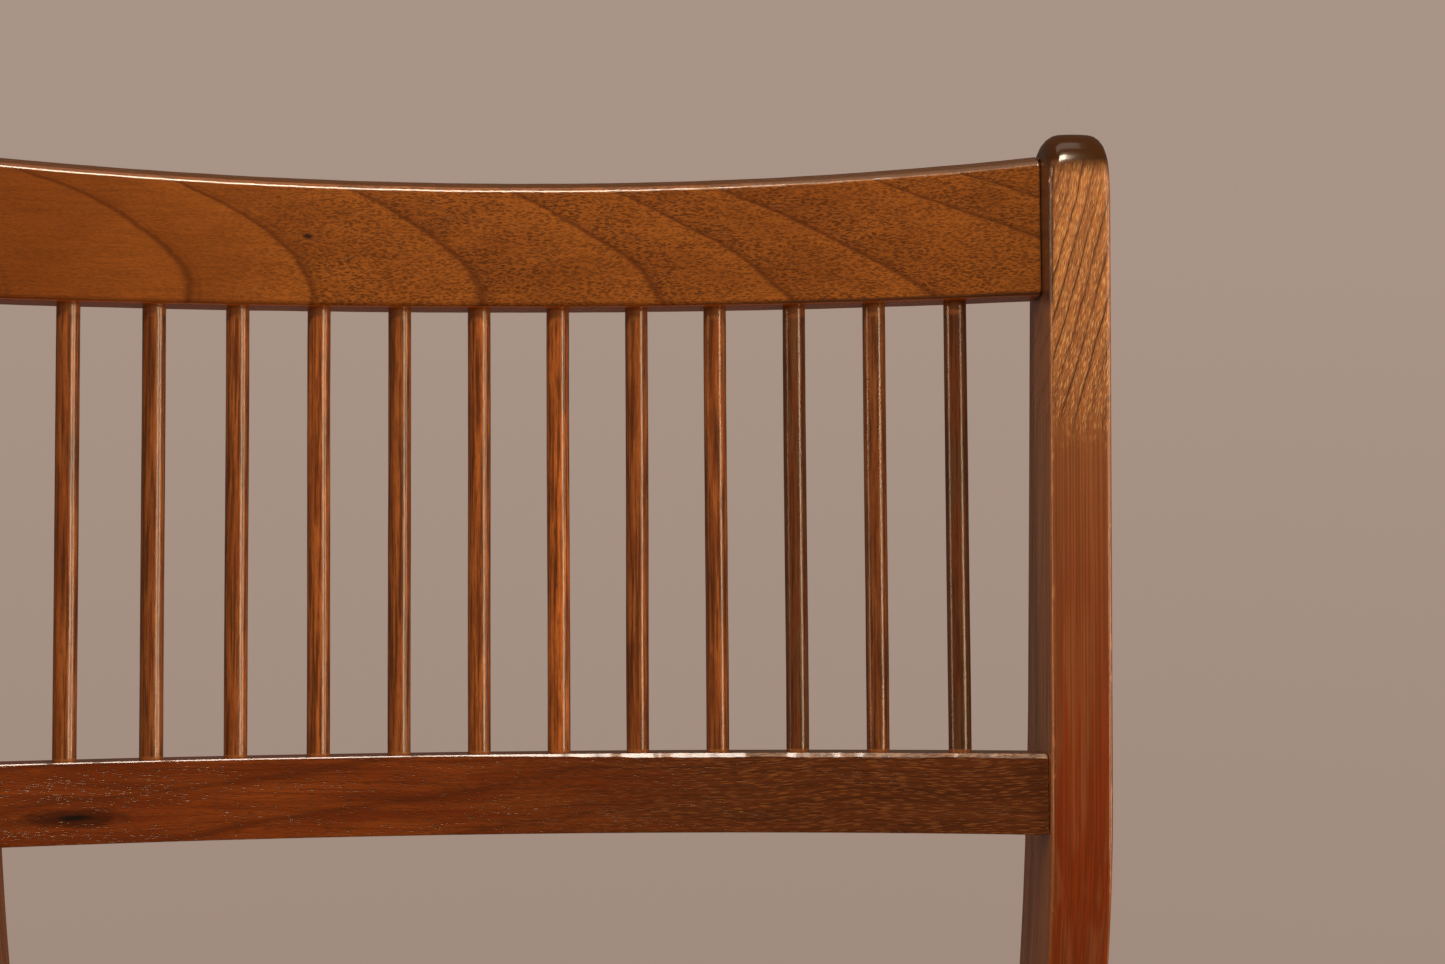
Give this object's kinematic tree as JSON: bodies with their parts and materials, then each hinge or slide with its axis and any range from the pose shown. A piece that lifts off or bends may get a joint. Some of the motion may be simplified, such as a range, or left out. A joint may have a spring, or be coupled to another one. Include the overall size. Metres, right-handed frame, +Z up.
{
  "type": "side chair",
  "caption": "Wooden side chair with a bowed back of slim round spindles between curved rails, a dished board seat and tapered legs.",
  "frame": {"origin": "on the floor, in the middle of the chair's width and depth", "axes": "+X to the right of someone who faces the chair's front, +Y from the seat's front edge to the back, +Z up"},
  "size_m": [0.4796, 0.4905, 0.774],
  "materials": {
    "varnished_wood": "glossy orange-brown varnish over open-pored wood",
    "spindle_wood": "glossy red-brown varnish",
    "plain_wood": "bare planed wood, aged"
  },
  "bodies": {
    "root": {"rear_post_left": "varnished_wood", "rear_post_right": "varnished_wood", "crest_rail": "varnished_wood", "lower_back_rail": "varnished_wood", "spindle_01": "spindle_wood", "spindle_02": "spindle_wood", "spindle_03": "spindle_wood", "spindle_04": "spindle_wood", "spindle_05": "spindle_wood", "spindle_06": "spindle_wood", "spindle_07": "spindle_wood", "spindle_08": "spindle_wood", "spindle_09": "spindle_wood", "spindle_10": "spindle_wood", "spindle_11": "spindle_wood", "spindle_12": "spindle_wood", "seat_board": "varnished_wood", "front_apron": "varnished_wood", "rear_apron": "varnished_wood", "side_apron_left": "varnished_wood", "side_apron_right": "varnished_wood", "front_leg_left": "varnished_wood", "front_leg_right": "varnished_wood", "side_stretcher_left": "varnished_wood", "side_stretcher_right": "varnished_wood", "cross_stretcher": "varnished_wood", "rear_stretcher": "varnished_wood", "corner_block_front_left": "plain_wood", "corner_block_front_right": "plain_wood", "corner_block_rear_left": "plain_wood", "corner_block_rear_right": "plain_wood"}
  },
  "joints": []
}
